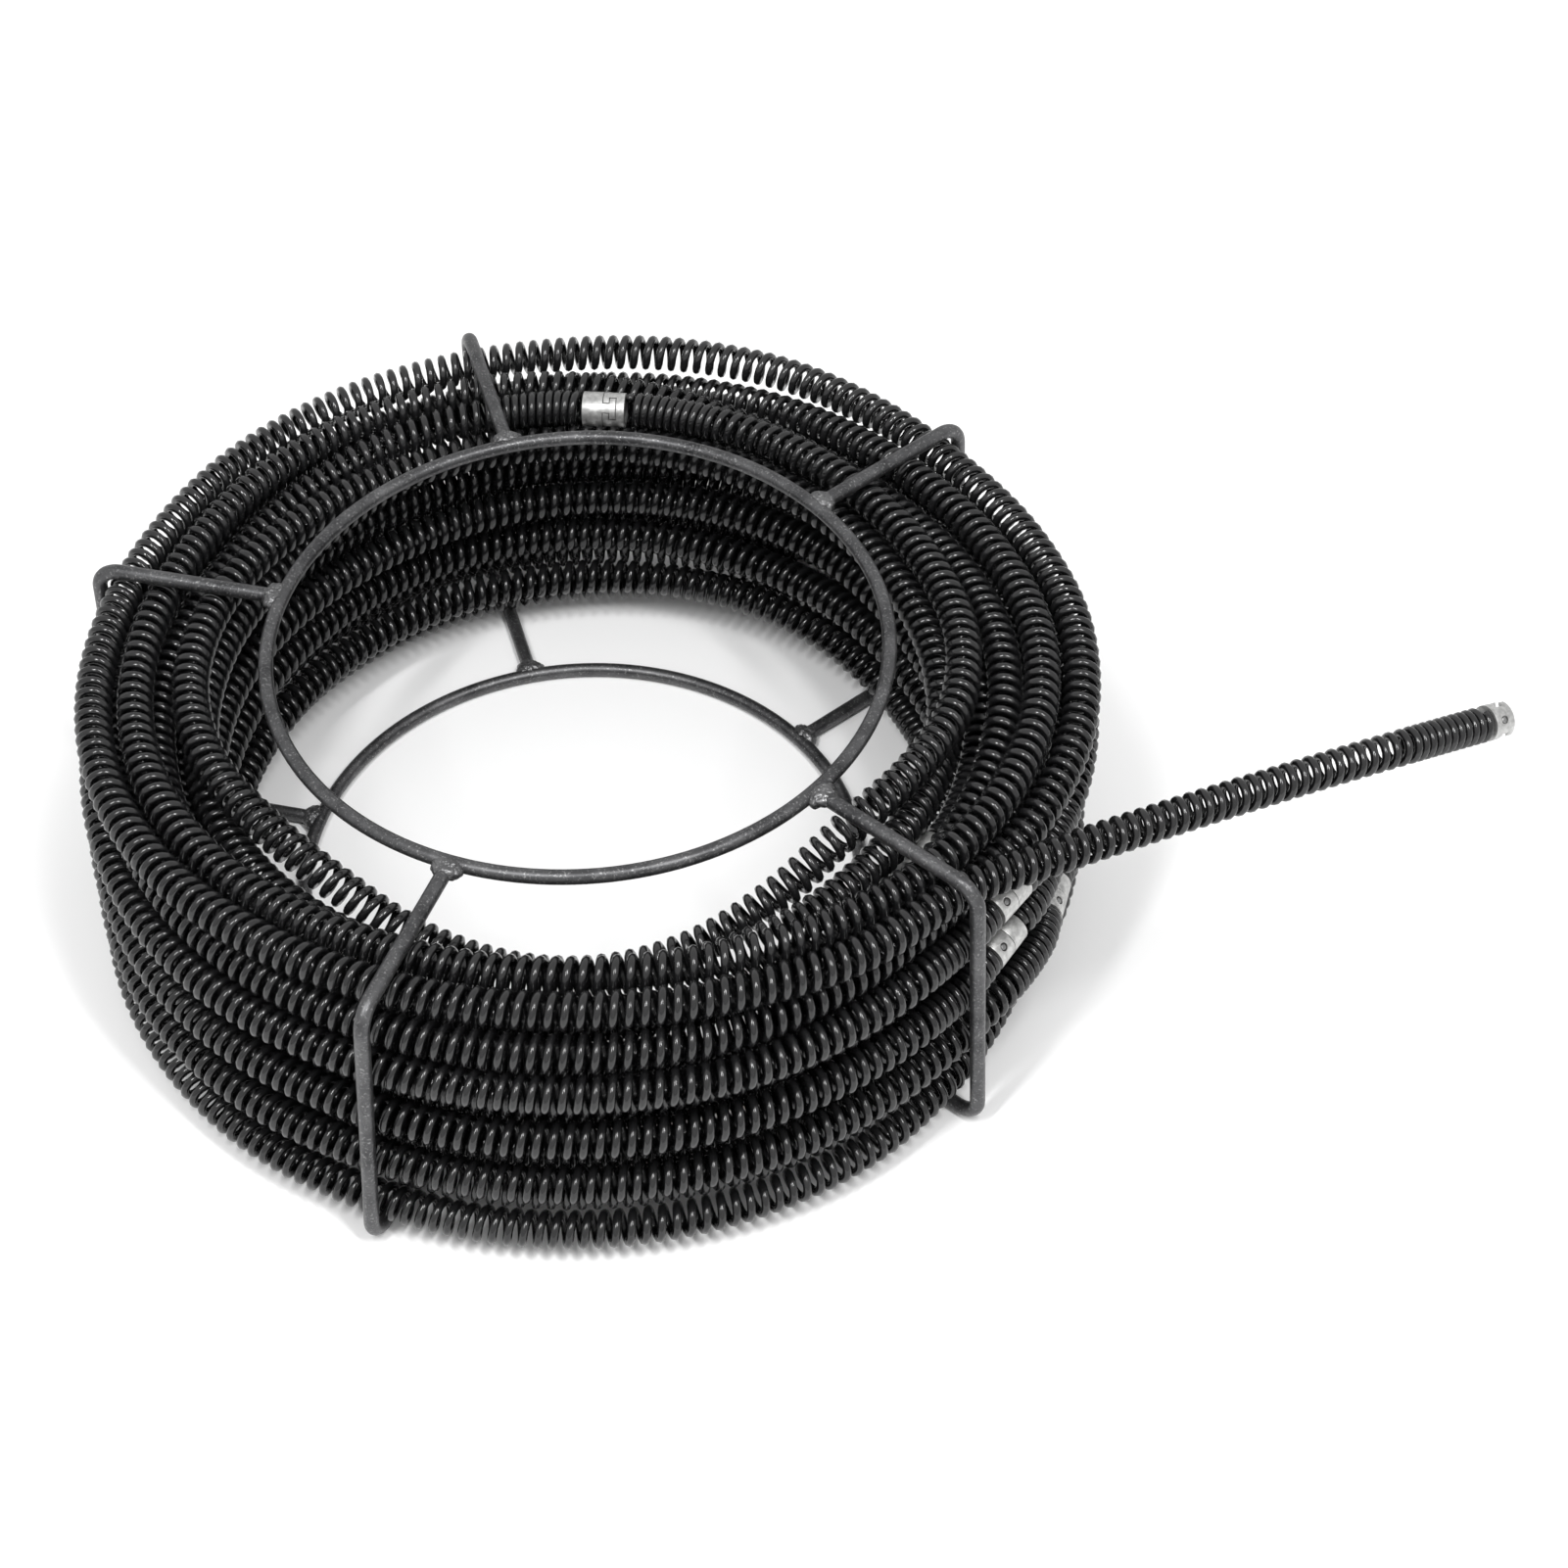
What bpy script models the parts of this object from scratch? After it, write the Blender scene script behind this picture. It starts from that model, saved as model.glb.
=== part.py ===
"""Sectional drain auger: thirteen coupled spring cables wound into a round carrier of welded rod.

World frame in metres, +Z up. The carrier stands on its bottom ring and its axis is vertical.
The cable is drawn as a plain round tube of the spring's outer diameter.
"""
import bpy
import numpy as np
from math import cos, sin, pi, radians, sqrt
from mathutils import Matrix, Vector

# ---------------------------------------------------------------- driving dimensions
CABLE_DIAMETER = 0.016          # outer diameter of the spring cable
SECTION_LENGTH = 2.272          # one cable from coupling face to coupling face
SECTION_COUNT = 13
LEVELS = 9                      # wraps lie on nine levels
COLUMNS = 3                     # and three deep on each level
WRAP_GAP = 0.0004               # least room between two neighbouring wraps

ROD_DIAMETER = 0.0064           # steel rod of the carrier
CARRIER_RADIUS = 0.212          # carrier axis to the centre of an upright rod
TOP_RING_RADIUS = 0.129
BOTTOM_RING_RADIUS = 0.123
BOTTOM_RING_OFFSET = -0.0056    # the bottom ring was welded this far off the axis, along X
LEVEL_HEIGHT = 0.01435          # height from one level of wraps to the next
COIL_CLEARANCE = 0.0004         # rod to cable, above, below and outside
ROD_BEND_RADIUS = 0.0105
BOTTOM_SPREAD = 0.0046          # the uprights lean out by this much from top bend to bottom bend
LOWER_TURN = {"d": -1.8}        # degrees by which the lower half of an arm was bent askew
ARM_AZIMUTHS = {"a": 34.2, "b": 100.4, "c": 161.2, "d": 243.8, "e": 313.3}
WELD_RADIUS = 0.0047
WELD_BACK = 0.0010              # centre of a weld from the rod's end, away from the ring
FOOT_PROUD = 0.0001             # the lower welds are ground flat this far below the rods
TOUCH_GAP = 0.0003              # gap between pieces that meet

# how far the wraps stand out between one arm and the next, counter-clockwise from that arm
STAND_OUT = {"a": 0.003, "b": 0.002, "c": 0.008, "d": 0.004, "e": 0.019}
TURN_ROOM = 9.0                 # degrees before the next arm where the wraps are back in line

TAIL_LENGTH = 0.268             # free end beyond arm e
TAIL_HEADING = 23.0             # degrees from +X
TAIL_DROP = 0.040               # how far the free end sags over its length
TAIL_POINTS = 6

COUPLING_DIAMETER = 0.0156
COUPLING_LENGTH = 0.0095
SLOT_LIP = 0.0026               # thickness of the lips that hold the tongue
SLOT_NECK_WIDTH = 0.0050
SLOT_WIDTH = 0.0100
SLOT_DEPTH = 0.0033
TONGUE_CLEARANCE = 0.0003
KEY_HOLE_RADIUS = 0.0018
KEY_HOLE_PLACE = 0.0044         # from the cable's end of the coupling
KEY_HOLE_FLOOR = 0.0030         # the hole stops this far from the coupling's axis
PIN_CLEARANCE = 0.0003
PIN_LENGTH = 0.0014
PIN_SUNK = 0.0001               # the pin's head lies this far under the surface

# ---------------------------------------------------------------- sizes that follow from them
WRAP_PITCH = CABLE_DIAMETER + WRAP_GAP
LOWEST_WRAP = ROD_DIAMETER / 2 + COIL_CLEARANCE + CABLE_DIAMETER / 2
HIGHEST_WRAP = LOWEST_WRAP + (LEVELS - 1) * LEVEL_HEIGHT
TOP_RING_HEIGHT = HIGHEST_WRAP + LOWEST_WRAP
WIDEST_WRAP = CARRIER_RADIUS - LOWEST_WRAP
STAGGER = sqrt(max(WRAP_PITCH ** 2 - LEVEL_HEIGHT ** 2, 0))
STATIONS = 24                   # points on one wrap
STEP = 360 / STATIONS
TUBE_SIDES = 2                  # bevel resolution: eight sides

parts = bpy.data.collections.new("drain_auger")
cutters = bpy.data.collections.new("cutters")


# ---------------------------------------------------------------- helpers
def clear_scene():
    for thing in list(bpy.data.objects):
        bpy.data.objects.remove(thing, do_unlink=True)
    bpy.context.scene.collection.children.link(parts)
    bpy.context.scene.collection.children.link(cutters)


def finish(name, colour, roughness, metallic):
    """A Principled material."""
    material = bpy.data.materials.new(name)
    material.use_nodes = True
    shader = material.node_tree.nodes["Principled BSDF"]
    shader.inputs["Base Color"].default_value = (*colour, 1)
    shader.inputs["Roughness"].default_value = roughness
    shader.inputs["Metallic"].default_value = metallic
    return material


def add_object(name, data, collection=parts):
    thing = bpy.data.objects.new(name, data)
    collection.objects.link(thing)
    return thing


def rod(name, points, radius, closed=False, collection=parts):
    """A round rod or tube along a row of points, eight sides, with filled ends."""
    curve = bpy.data.curves.new(name, "CURVE")
    curve.dimensions = "3D"
    curve.bevel_depth = radius
    curve.bevel_resolution = TUBE_SIDES
    curve.use_fill_caps = not closed
    spline = curve.splines.new("POLY")
    spline.points.add(len(points) - 1)
    for point, place in zip(spline.points, points):
        point.co = (*place, 1)
    spline.use_cyclic_u = closed
    return add_object(name, curve, collection)


def as_mesh(thing):
    """Turn a curve object into a closed mesh object of the same name."""
    name, collection = thing.name, thing.users_collection[0]
    graph = bpy.context.evaluated_depsgraph_get()
    mesh = bpy.data.meshes.new_from_object(thing.evaluated_get(graph))
    matrix = thing.matrix_world.copy()
    bpy.data.objects.remove(thing, do_unlink=True)
    weld_points(mesh)
    solid = add_object(name, mesh, collection)
    solid.matrix_world = matrix
    return solid


def weld_points(mesh):
    import bmesh
    work = bmesh.new()
    work.from_mesh(mesh)
    bmesh.ops.remove_doubles(work, verts=work.verts, dist=0.00001)
    bmesh.ops.recalc_face_normals(work, faces=work.faces)
    work.to_mesh(mesh)
    work.free()


def primitive(kind, name, collection=cutters, **sizes):
    """One of Blender's mesh primitives as a named object in a collection."""
    getattr(bpy.ops.mesh, f"primitive_{kind}_add")(**sizes)
    thing = bpy.context.object
    thing.name = name
    for home in list(thing.users_collection):
        home.objects.unlink(thing)
    collection.objects.link(thing)
    if collection is cutters:
        thing.hide_render = True
        thing.display_type = "WIRE"
    return thing


def join_shapes(solid, other, operation):
    """Apply a Boolean with the other object, and keep the other as a hidden guide."""
    modifier = solid.modifiers.new(operation.lower(), "BOOLEAN")
    modifier.operation = operation
    modifier.solver = "EXACT"
    modifier.object = other
    graph = bpy.context.evaluated_depsgraph_get()
    mesh = bpy.data.meshes.new_from_object(solid.evaluated_get(graph))
    solid.modifiers.remove(modifier)
    solid.data = mesh
    bpy.data.objects.remove(other, do_unlink=True)


def box(name, low, high):
    """A box between two corners."""
    middle = [(a + b) / 2 for a, b in zip(low, high)]
    size = [b - a for a, b in zip(low, high)]
    thing = primitive("cube", name, size=1, location=middle)
    thing.scale = size
    bpy.context.view_layer.update()
    return thing


# ---------------------------------------------------------------- the winding
def lean(height):
    """How far out the uprights lean at a height."""
    straight = TOP_RING_HEIGHT - 2 * ROD_BEND_RADIUS
    return BOTTOM_SPREAD * np.clip((straight + ROD_BEND_RADIUS - height) / straight, 0, 1)


def ease(t):
    t = np.clip(t, 0, 1)
    return t * t * (3 - 2 * t)


def swell(azimuth, middle, half):
    """1 at the middle azimuth, falling to 0 at half a width either side."""
    away = (azimuth - middle + 180) % 360 - 180
    return np.where(abs(away) < half, 0.5 + 0.5 * np.cos(pi * away / half), 0)


def widest(azimuth):
    """Largest radius that a wrap's centre may have: held in by the arms, looser between them."""
    names = sorted(ARM_AZIMUTHS, key=ARM_AZIMUTHS.get)
    limit = np.full(len(azimuth), WIDEST_WRAP)
    for name, after in zip(names, names[1:] + names[:1]):
        start = ARM_AZIMUTHS[name]
        span = (ARM_AZIMUTHS[after] - start) % 360 - TURN_ROOM
        t = ((azimuth - start) % 360) / span
        limit += np.where(t < 1, STAND_OUT[name] * np.sin(pi * np.clip(t, 0, 1)) ** 2, 0)
    return limit


def wrap_order():
    """(column, level) of each wrap from the free end down: the two top levels interleave."""
    top, under = LEVELS - 1, LEVELS - 2
    order = [(column, level) for column in range(COLUMNS) for level in (top, under)]
    columns = list(range(COLUMNS))[::-1]
    for level in range(LEVELS - 3, -1, -1):
        order += [(column, level) for column in columns]
        columns = columns[::-1]
    order.remove((1, 0))        # the last wraps were laid with a gap on the bottom level
    return order


def wrap_place(column, level):
    """Radius and height of a wrap; every other level is set in, so that wraps sit in the hollows."""
    set_in = STAGGER if (LEVELS - 1 - level) % 2 else 0
    height = LOWEST_WRAP + level * LEVEL_HEIGHT
    return WIDEST_WRAP + lean(height) - set_in - column * WRAP_PITCH * 1.01, height


def lay_wraps():
    """Azimuth, radius and height of every station, from the free end backwards, before settling."""
    order = wrap_order()
    index = np.arange(len(order) * STATIONS)
    azimuth = -45.0 - STEP * index
    wrap, along = index // STATIONS, (index % STATIONS) / STATIONS
    places = np.array([wrap_place(*slot) for slot in order + order[-1:]])
    # each wrap changes to the next place over a quarter turn; the interleaved ones do so in turn
    interleaved = 2 * COLUMNS
    change = np.where(wrap < interleaved, 0.86 - 0.105 * wrap, 0.86)
    share = ease((along - change) / 0.28 + 0.5)[:, None]
    settled = places[wrap] * (1 - share) + places[wrap + 1] * share
    radius, height = settled[:, 0].copy(), settled[:, 1].copy()
    loose = widest(azimuth) - WIDEST_WRAP
    radius += loose * np.where(wrap < interleaved, 0.95, 0.5)
    # at the front the top wraps slid inwards, the third one down, and the wall under them sank
    for which, half, inwards, down in ((0, 62, 0.027, 0), (2, 62, 0.026, 0),
                                       (4, 62, 0.036, 0.060), (1, 80, -0.005, 0.007)):
        here = wrap == which
        radius[here] -= inwards * swell(azimuth[here], -93, half)
        height[here] -= down * swell(azimuth[here], -93, half)
    return azimuth, radius, height


def settle(azimuth, radius, height, rounds=1300):
    """Push wraps apart until no two are nearer than a pitch, inside the carrier."""
    wraps = len(radius) // STATIONS
    start_radius, start_height = radius.copy(), height.copy()
    limit = widest(azimuth)
    itself = np.eye(wraps, dtype=bool)[:, :, None]
    for number in range(rounds):
        late = number > rounds * 0.55
        apart = WRAP_PITCH + (0.0003 if late else 0)
        if not late:
            radius += (start_radius - radius) * 0.05
            height += (start_height - height) * 0.05
        stiffness = 0.006 if late else 0.08
        for row in (radius, height):
            row[1:-1] += stiffness * ((row[:-2] + row[2:]) / 2 - row[1:-1])
        for between in (False, True):
            r, z = radius, height
            if between:
                r = (r + np.append(r[1:], r[-1])) / 2
                z = (z + np.append(z[1:], z[-1])) / 2
            r, z = r.reshape(wraps, STATIONS), z.reshape(wraps, STATIONS)
            dr, dz = r[:, None] - r[None], z[:, None] - z[None]
            distance = np.sqrt(dr ** 2 + dz ** 2) + 1e-9
            push = np.where(itself, 0, np.clip(apart - distance, 0, None)) * 0.5 / distance
            move_r, move_z = (push * dr).sum(1).reshape(-1), (push * dz).sum(1).reshape(-1)
            if not between:
                radius += move_r * 0.9
                height += move_z * 0.9
                continue
            for row, move in ((radius, move_r), (height, move_z)):
                row += move * 0.5
                row[1:] += move[:-1] * 0.5
        height[:] = np.clip(height, LOWEST_WRAP, HIGHEST_WRAP)
        radius[:] = np.minimum(radius, limit + lean(height))
    return radius, height


def winding():
    """The cable's centreline as points, from the tip of the free end to its inner end."""
    azimuth, radius, height = lay_wraps()
    radius, height = settle(azimuth, radius, height)
    angle = np.radians(azimuth)
    coil = np.stack([radius * np.cos(angle), radius * np.sin(angle), height], 1)
    heading = np.array([cos(radians(TAIL_HEADING)), sin(radians(TAIL_HEADING)), 0])
    tail = []
    for number in range(TAIL_POINTS, 0, -1):
        share = number / TAIL_POINTS
        sag = np.array([0, 0, -TAIL_DROP * share ** 1.3])
        tail.append(coil[0] + heading * TAIL_LENGTH * share + sag)
    return np.vstack([tail, coil])


def path_lengths(points):
    return np.append(0, np.cumsum(np.linalg.norm(np.diff(points, axis=0), axis=1)))


def joint_places(points):
    """Distance along the path of each coupling face, moved to the middle of a straight stretch."""
    lengths = path_lengths(points)
    places = [0.0]
    for number in range(1, SECTION_COUNT + 1):
        stretch = np.searchsorted(lengths, min(number * SECTION_LENGTH, lengths[-1] - 0.001)) - 1
        places.append((lengths[stretch] + lengths[stretch + 1]) / 2)
    return places


def stretch_of(points, start, end):
    """The part of the path between two distances along it."""
    lengths = path_lengths(points)
    inside = (lengths > start + 0.001) & (lengths < end - 0.001)
    ends = [[np.interp(d, lengths, points[:, k]) for k in range(3)] for d in (start, end)]
    return [ends[0], *points[inside], ends[1]]


def joint_frame(points, distance):
    """Place and turn of a coupling face: X towards the free end, Z towards its key hole."""
    lengths = path_lengths(points)
    here, ahead = (np.array([np.interp(d, lengths, points[:, k]) for k in range(3)])
                   for d in (distance, distance + 0.002))
    x = Vector(here - ahead).normalized()
    side = x.cross(Vector((0, 0, 1))).normalized()
    z = (side + Vector((0, 0, 1))).normalized()
    z = (z - x * z.dot(x)).normalized()
    turn = Matrix((x, z.cross(x), z)).transposed().to_4x4()
    return Matrix.Translation(Vector(here)) @ turn


# ---------------------------------------------------------------- the carrier
def ring_points(radius, height, offset=0.0, count=44):
    return [(offset + radius * cos(2 * pi * k / count), radius * sin(2 * pi * k / count), height)
            for k in range(count)]


def outwards(azimuth):
    return Vector((cos(radians(azimuth)), sin(radians(azimuth)), 0))


def arm_points(azimuth, lower_azimuth):
    """Centreline of one arm: out over the coil, down outside it and back in under it."""
    reach = ROD_DIAMETER / 2 + TOUCH_GAP
    under = outwards(lower_azimuth)
    across = BOTTOM_RING_OFFSET * under.x
    low_ring = across + sqrt((BOTTOM_RING_RADIUS + reach) ** 2 - BOTTOM_RING_OFFSET ** 2 + across ** 2)
    points = [outwards(azimuth) * (TOP_RING_RADIUS + reach) + Vector((0, 0, TOP_RING_HEIGHT))]
    for out, radius, middle, start in (
            (outwards(azimuth), CARRIER_RADIUS, TOP_RING_HEIGHT - ROD_BEND_RADIUS, 90),
            (under, CARRIER_RADIUS + BOTTOM_SPREAD, ROD_BEND_RADIUS, 0)):
        for number in range(4):
            turn = radians(start - 30 * number)
            along = radius - ROD_BEND_RADIUS + ROD_BEND_RADIUS * cos(turn)
            points.append(out * along + Vector((0, 0, middle + ROD_BEND_RADIUS * sin(turn))))
    points.append(under * low_ring)
    return points


def build_carrier(steel):
    rings = {
        "top_ring": ring_points(TOP_RING_RADIUS, TOP_RING_HEIGHT),
        "bottom_ring": ring_points(BOTTOM_RING_RADIUS, 0, BOTTOM_RING_OFFSET),
    }
    for name, points in rings.items():
        rod(name, points, ROD_DIAMETER / 2, closed=True).data.materials.append(steel)
    for letter, azimuth in ARM_AZIMUTHS.items():
        lower_azimuth = azimuth + LOWER_TURN.get(letter, 0)
        points = arm_points(azimuth, lower_azimuth)
        arm = as_mesh(rod(f"carrier_arm_{letter}", points, ROD_DIAMETER / 2))
        ends = ((points[0], azimuth), (points[-1], lower_azimuth))
        for (end, toward), ring_line in zip(ends, rings.values()):
            bead = primitive("uv_sphere", "bead", segments=10, ring_count=6, radius=WELD_RADIUS,
                             location=end + outwards(toward) * WELD_BACK)
            join_shapes(arm, bead, "UNION")
            room = as_mesh(rod("room", ring_line, ROD_DIAMETER / 2 + TOUCH_GAP, True, cutters))
            join_shapes(arm, room, "DIFFERENCE")
        foot = -ROD_DIAMETER / 2 - FOOT_PROUD
        beyond = CARRIER_RADIUS + BOTTOM_SPREAD + ROD_DIAMETER
        join_shapes(arm, box("floor", (-beyond, -beyond, foot - 2 * WELD_RADIUS),
                             (beyond, beyond, foot)), "DIFFERENCE")
        arm.data.materials.clear()
        arm.data.materials.append(steel)


# ---------------------------------------------------------------- couplings
def turned_body(name, length):
    body = primitive("cylinder", name, parts, vertices=16, radius=COUPLING_DIAMETER / 2,
                     depth=length, location=(length / 2, 0, 0), rotation=(0, pi / 2, 0))
    body.data.transform(body.matrix_basis)
    body.matrix_basis = Matrix.Identity(4)
    return body


def female_coupling(name):
    """Slotted body: cable at X = 0, face at X = COUPLING_LENGTH, T slot along Y, key hole along Z."""
    body = turned_body(name, COUPLING_LENGTH)
    wide = COUPLING_DIAMETER
    lip = COUPLING_LENGTH - SLOT_LIP
    join_shapes(body, box("neck", (lip - 0.0005, -wide, -SLOT_NECK_WIDTH / 2),
                          (COUPLING_LENGTH + 0.001, wide, SLOT_NECK_WIDTH / 2)), "DIFFERENCE")
    join_shapes(body, box("slot", (lip - SLOT_DEPTH, -wide, -SLOT_WIDTH / 2),
                          (lip, wide, SLOT_WIDTH / 2)), "DIFFERENCE")
    hole = primitive("cylinder", "key_hole", vertices=12, radius=KEY_HOLE_RADIUS, depth=0.01,
                     location=(KEY_HOLE_PLACE, 0, KEY_HOLE_FLOOR + 0.005))
    join_shapes(body, hole, "DIFFERENCE")
    return body


def male_coupling(name):
    """Body with a T tongue that fits the slot of the next section's coupling."""
    face = COUPLING_LENGTH - TOUCH_GAP
    head = COUPLING_LENGTH + SLOT_LIP + TONGUE_CLEARANCE
    tip = COUPLING_LENGTH + SLOT_LIP + SLOT_DEPTH - TONGUE_CLEARANCE
    body = turned_body(name, tip)
    wide = COUPLING_DIAMETER
    for side in (1, -1):
        neck = sorted((side * (SLOT_NECK_WIDTH / 2 - TONGUE_CLEARANCE), side * wide))
        join_shapes(body, box("neck", (face, -wide, neck[0]), (head, wide, neck[1])), "DIFFERENCE")
        top = sorted((side * (SLOT_WIDTH / 2 - TONGUE_CLEARANCE), side * wide))
        join_shapes(body, box("top", (head - 0.0002, -wide, top[0]),
                              (tip + 0.001, wide, top[1])), "DIFFERENCE")
    return body


def detent_pin(name):
    """Pin in the key hole; its own Z points out of the hole and its origin is its outer face."""
    radius = KEY_HOLE_RADIUS - PIN_CLEARANCE
    pin = primitive("cylinder", name, parts, vertices=12, radius=radius, depth=PIN_LENGTH,
                    location=(0, 0, -PIN_LENGTH / 2))
    pin.data.transform(pin.matrix_basis)
    pin.matrix_basis = Matrix.Identity(4)
    return pin


def build_cable(black, silver, dark):
    points = winding()
    faces = joint_places(points)
    pieces = []
    for number in range(SECTION_COUNT):
        label = f"{number + 1:02d}"
        start, end = faces[number], faces[number + 1]
        # the female coupling points towards the free end
        body = female_coupling(f"female_coupling_{label}")
        body.data.materials.append(silver)
        near = joint_frame(points, start + COUPLING_LENGTH)
        body.matrix_world = near
        pin = detent_pin(f"detent_pin_{label}")
        pin.data.materials.append(dark)
        outer = COUPLING_DIAMETER / 2 - PIN_SUNK
        pin.matrix_world = near @ Matrix.Translation((KEY_HOLE_PLACE, 0, outer))
        # the cable between its two couplings
        tube = rod(f"cable_section_{label}",
                   stretch_of(points, start + COUPLING_LENGTH + TOUCH_GAP,
                              end - COUPLING_LENGTH - TOUCH_GAP),
                   CABLE_DIAMETER / 2)
        tube.data.materials.append(black)
        # the male coupling points the other way, into the next section
        tongue = male_coupling(f"male_coupling_{label}")
        tongue.data.materials.append(silver)
        tongue.matrix_world = joint_frame(points, end - COUPLING_LENGTH) @ Matrix.Rotation(pi, 4, "Z")
        pieces += [body, pin, tube, tongue]
    return pieces


def stand_on_origin():
    """Hang every part under one empty and put the middle of the whole box's floor at the origin."""
    bpy.context.view_layer.update()
    graph = bpy.context.evaluated_depsgraph_get()
    places = []
    for thing in parts.objects:
        shape = thing.evaluated_get(graph)
        places += [thing.matrix_world @ corner.co for corner in shape.to_mesh().vertices]
        shape.to_mesh_clear()
    low, high = np.min(places, axis=0), np.max(places, axis=0)
    anchor = bpy.data.objects.new("carrier_axis", None)
    bpy.context.scene.collection.objects.link(anchor)
    for thing in parts.objects:
        thing.parent = anchor
    anchor.location = (-(low[0] + high[0]) / 2, -(low[1] + high[1]) / 2, -low[2])


clear_scene()
build_carrier(finish("dark_rod_steel", (0.12, 0.12, 0.12), 0.45, 0.9))
build_cable(finish("black_spring_steel", (0.012, 0.012, 0.013), 0.25, 0.6),
            finish("plated_coupling", (0.72, 0.72, 0.70), 0.4, 0.9),
            finish("detent_steel", (0.35, 0.35, 0.35), 0.35, 1.0))
stand_on_origin()
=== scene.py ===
# %% [markdown]
# # A sectional drain cable in its carrier
# Drain cable is carried wound up in a round cage of welded rod. The cable is a long steel spring in
# sections. Each section ends in a coupling, and the couplings hook into one another.
# The measured model of the object is loaded first, as a frame that never moves. Every piece is then
# modelled round that frame, and its outer box is noted, so that nothing grows past it unnoticed.

# %% Load the frame
from math import cos, sin, pi, radians, sqrt

import bmesh
import bpy
import numpy as np
from mathutils import Matrix, Vector, noise


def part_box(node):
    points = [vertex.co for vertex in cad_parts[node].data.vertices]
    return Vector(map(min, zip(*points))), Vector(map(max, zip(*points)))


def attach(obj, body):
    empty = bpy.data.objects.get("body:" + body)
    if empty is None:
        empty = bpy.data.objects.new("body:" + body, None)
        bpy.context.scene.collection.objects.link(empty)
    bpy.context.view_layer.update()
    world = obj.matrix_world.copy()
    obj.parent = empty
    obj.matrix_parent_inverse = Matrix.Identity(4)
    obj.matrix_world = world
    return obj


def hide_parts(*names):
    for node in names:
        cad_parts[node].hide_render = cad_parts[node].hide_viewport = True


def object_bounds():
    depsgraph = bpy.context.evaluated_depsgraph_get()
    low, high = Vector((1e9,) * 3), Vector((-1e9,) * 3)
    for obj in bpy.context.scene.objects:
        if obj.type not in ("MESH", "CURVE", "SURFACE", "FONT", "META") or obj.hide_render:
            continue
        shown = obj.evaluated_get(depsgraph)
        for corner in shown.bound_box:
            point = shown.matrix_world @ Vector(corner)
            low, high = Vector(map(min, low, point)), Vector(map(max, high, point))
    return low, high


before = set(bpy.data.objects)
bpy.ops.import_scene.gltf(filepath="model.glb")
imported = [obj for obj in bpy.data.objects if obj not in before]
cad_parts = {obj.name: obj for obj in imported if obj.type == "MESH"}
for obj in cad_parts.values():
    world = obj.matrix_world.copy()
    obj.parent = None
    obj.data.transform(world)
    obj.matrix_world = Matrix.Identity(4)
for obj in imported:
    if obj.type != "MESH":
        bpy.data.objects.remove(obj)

cad_box = [list(corner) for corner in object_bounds()]
print(len(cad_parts), "measured pieces reach from", cad_box[0], "to", cad_box[1])

# %% [markdown]
# ## Where the carrier stands
# Everything round is measured from the carrier's upright axis, at the height of the bottom ring's
# rod. The top ring is round that axis, so the middle of its box gives the axis, and the bottom
# ring's box gives the height. Nothing has to be typed in by hand, so the two can't disagree.

# %% Find the axis
top_low, top_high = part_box("top_ring")
foot_low, foot_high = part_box("bottom_ring")
axis_place = (top_low + top_high) / 2
axis_place.z = (foot_low.z + foot_high.z) / 2
TOP_RING_HEIGHT = (top_low.z + top_high.z) / 2 - axis_place.z
to_frame = Matrix.Translation(axis_place)
print("carrier axis at", tuple(round(v, 4) for v in axis_place))
print("rings", round(TOP_RING_HEIGHT, 4), "apart")

# %% [markdown]
# ## The camera
# The viewpoint stands in front and well above, about a metre and a half away, with a short
# telephoto lens, so the far side of the coil is only a little smaller than the near side. A camera
# looks down its own -Z axis. Its turn is built from the way it looks and from a slight tilt of the
# horizon, because three written-out directions are easier to check than three angles.

# %% Place the camera
CAMERA_FROM_AXIS = Vector((-0.0056, -0.9932, 1.1133))
CAMERA_YAW, CAMERA_PITCH, CAMERA_ROLL = 0.09063, 0.82098, -0.01546      # radians
LENS, SENSOR_WIDTH = 76.93, 36                                          # millimetres

looking = Vector((sin(CAMERA_YAW) * cos(CAMERA_PITCH), cos(CAMERA_YAW) * cos(CAMERA_PITCH),
                  -sin(CAMERA_PITCH)))
level = Vector((cos(CAMERA_YAW), -sin(CAMERA_YAW), 0))
upright = level.cross(looking)
right = level * cos(CAMERA_ROLL) + upright * sin(CAMERA_ROLL)
above = upright * cos(CAMERA_ROLL) - level * sin(CAMERA_ROLL)
bpy.ops.object.camera_add(location=axis_place + CAMERA_FROM_AXIS)
camera = bpy.context.object
camera.rotation_euler = Matrix((right, above, -looking)).transposed().to_euler()
camera.data.lens, camera.data.sensor_width = LENS, SENSOR_WIDTH
bpy.context.scene.camera = camera
print("camera at", tuple(round(v, 3) for v in camera.location), "with a lens of", LENS, "mm")

# %% [markdown]
# ## The cable's route
# A cable this stiff only goes into the carrier in wraps that lie on one another. A wrap could be
# drawn by hand as a curve, but 26 of them have to touch without cutting into each other, so their
# places are settled by a small rule. Each wrap starts in a neat place on its level. Then wraps that
# are too close push each other apart, inside the limits that the rods set, until they all fit.
# The sizes come first, so that everything after them can be worked out and not typed in again.

# %% Sizes of the cable
CABLE_DIAMETER = 0.016
SECTION_LENGTH = 2.272
SECTION_COUNT = 13
COUPLING_LENGTH = 0.0095
TOUCH_GAP = 0.0003              # left between pieces that meet, so that they never cut
print(SECTION_COUNT, "sections make", round(SECTION_COUNT * SECTION_LENGTH, 1), "m of cable")

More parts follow.
